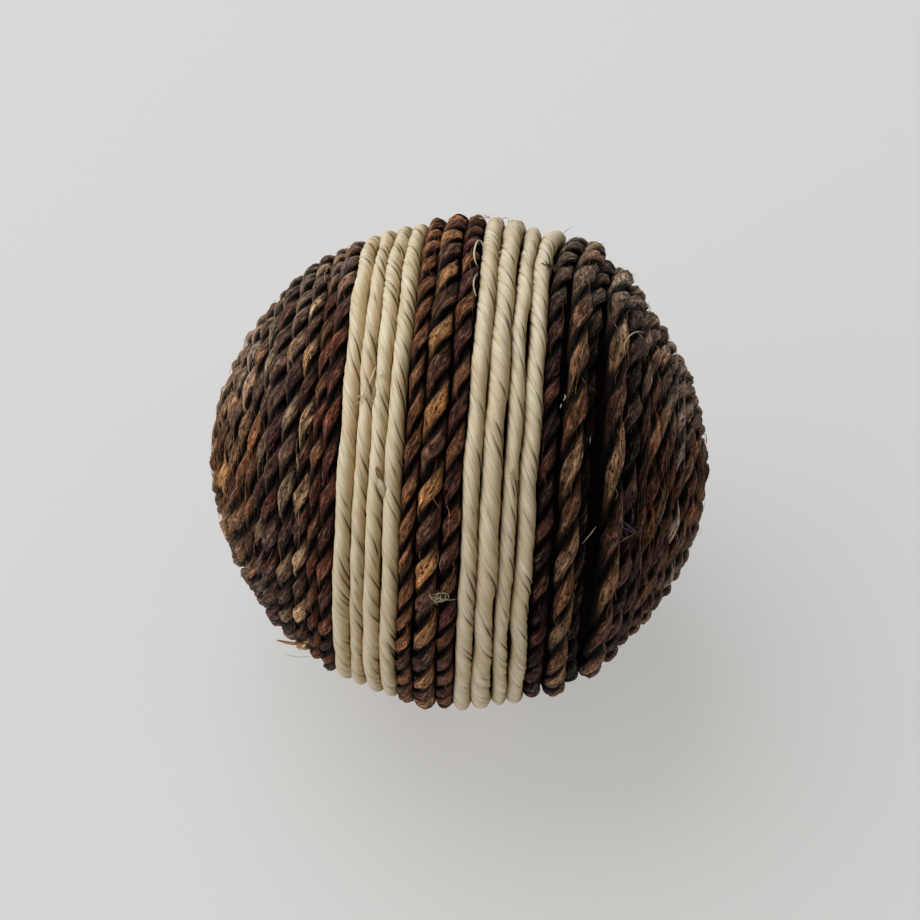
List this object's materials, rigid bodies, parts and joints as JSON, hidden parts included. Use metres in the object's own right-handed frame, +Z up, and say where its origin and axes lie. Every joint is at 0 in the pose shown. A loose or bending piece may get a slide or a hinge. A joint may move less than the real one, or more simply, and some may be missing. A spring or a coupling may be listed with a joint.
{
  "type": "decorative sphere",
  "caption": "Decorative ball wound from pole to pole with twisted dark fibre cord and bands of pale corn husk cord, resting on a small flat spot.",
  "frame": {"origin": "in the plane of the small flat spot that the ball rests on, straight below the ball's centre", "axes": "+Z up; X along the winding axis, +X towards the looser and heavier dark winding; -Y towards the viewer, with the cords' ends low on the +Y side"},
  "size_m": [0.1003, 0.0994, 0.0988],
  "materials": {
    "dark_fibre": "matte twisted bark fibre, purple-brown to tan",
    "corn_husk": "smooth dry corn husk, cream, softly satin",
    "core": "matte dark brown"
  },
  "bodies": {
    "root": {"core_ball": "core", "left_dark_cord": "dark_fibre", "left_pale_cord": "corn_husk", "middle_dark_cord": "dark_fibre", "right_pale_cord": "corn_husk", "right_dark_cord": "dark_fibre"}
  },
  "joints": []
}
